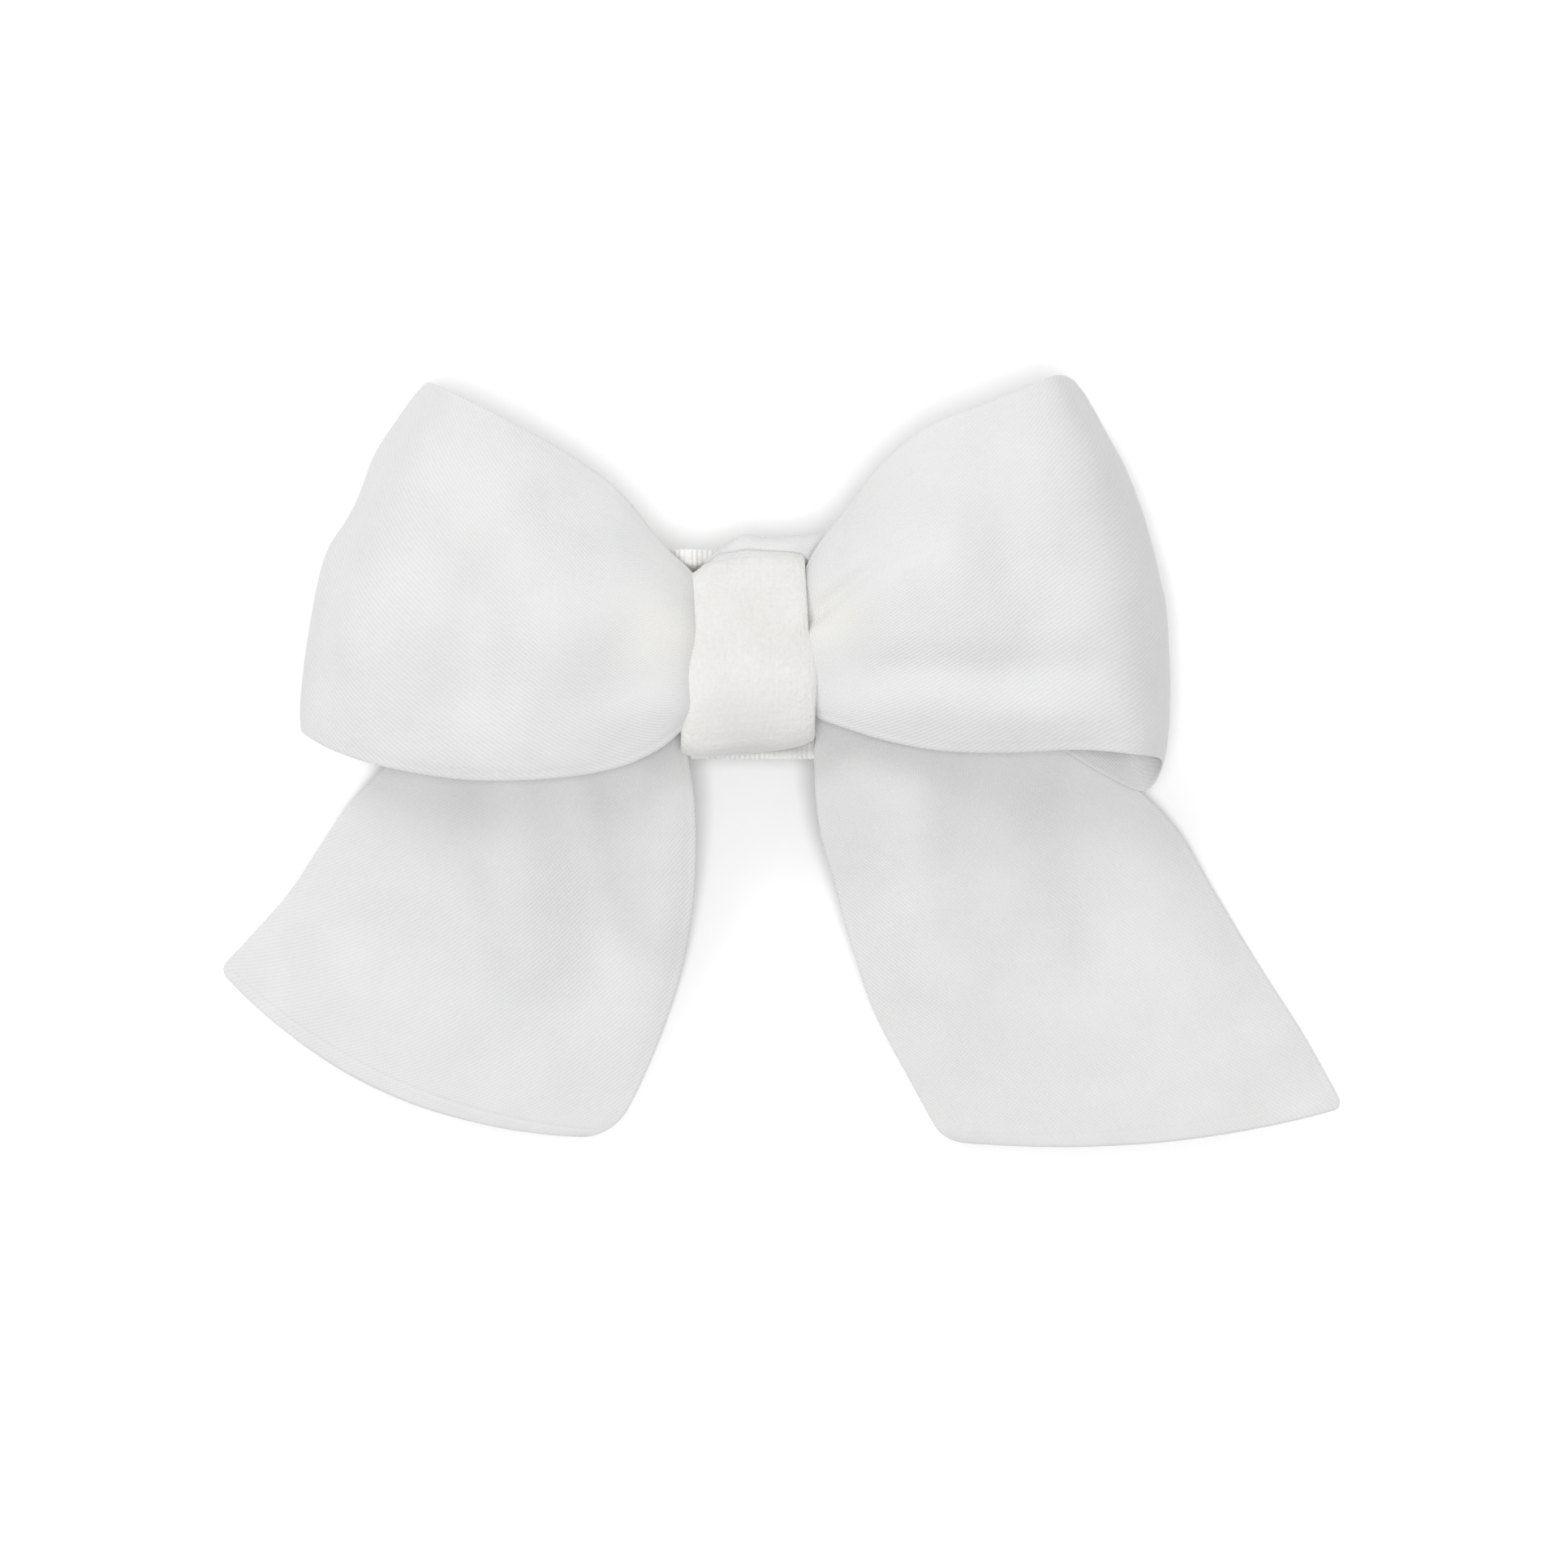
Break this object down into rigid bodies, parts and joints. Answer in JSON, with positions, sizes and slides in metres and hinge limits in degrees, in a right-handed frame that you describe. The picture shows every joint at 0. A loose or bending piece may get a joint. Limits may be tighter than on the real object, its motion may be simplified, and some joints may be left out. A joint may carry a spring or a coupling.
{
  "type": "hair bow",
  "caption": "White fabric hair bow with puffed loops and slanted tails, a velvet knot and a lined spring clip behind it.",
  "frame": {"origin": "on the surface that the bow lies on, under the middle of its outline", "axes": "+X along the bow and its clip, towards the clip's lever; +Y up the bow, from the tails to the tops of the loops; +Z out of the front of the knot"},
  "size_m": [0.1205, 0.0819, 0.0261],
  "materials": {
    "bow_fabric": "sheer matt white weave, two plies",
    "velvet_wrap": "short soft cream-white pile",
    "grosgrain": "fine cross ribs, woven selvedge",
    "lining_ribbon": "fine cross ribs",
    "thread": "twisted polyester",
    "glue": "cloudy hot-melt",
    "clip_steel": "nickel-plated pressed sheet",
    "spring_steel": "drawn wire",
    "grip_rubber": "soft translucent silicone"
  },
  "bodies": {
    "bow": {"left_loop": "bow_fabric", "right_loop": "bow_fabric", "left_tail": "bow_fabric", "right_tail": "bow_fabric", "gather_thread": "thread", "knot_wrap": "velvet_wrap", "knot_wrap_stitches": "thread", "backing_ribbon": "grosgrain", "glue_pad": "glue", "clip_top_arm": "clip_steel", "clip_pivot_pin": "clip_steel", "clip_spring": "spring_steel", "top_arm_lining": "lining_ribbon", "grip_strip": "grip_rubber"},
    "bottom_jaw": {"clip_bottom_arm": "clip_steel", "bottom_arm_lining": "lining_ribbon"}
  },
  "joints": [
    {"name": "jaw_hinge", "type": "hinge", "parent": "bow", "child": "bottom_jaw", "pos_m": [0.004, 0.0112, 0.0069], "axis": [0, -1, 0], "range_deg": [0, 24], "stiffness_Nm_per_rad": 0.15, "springref_deg": -28.65, "deforming": ["clip_spring"]}
  ]
}
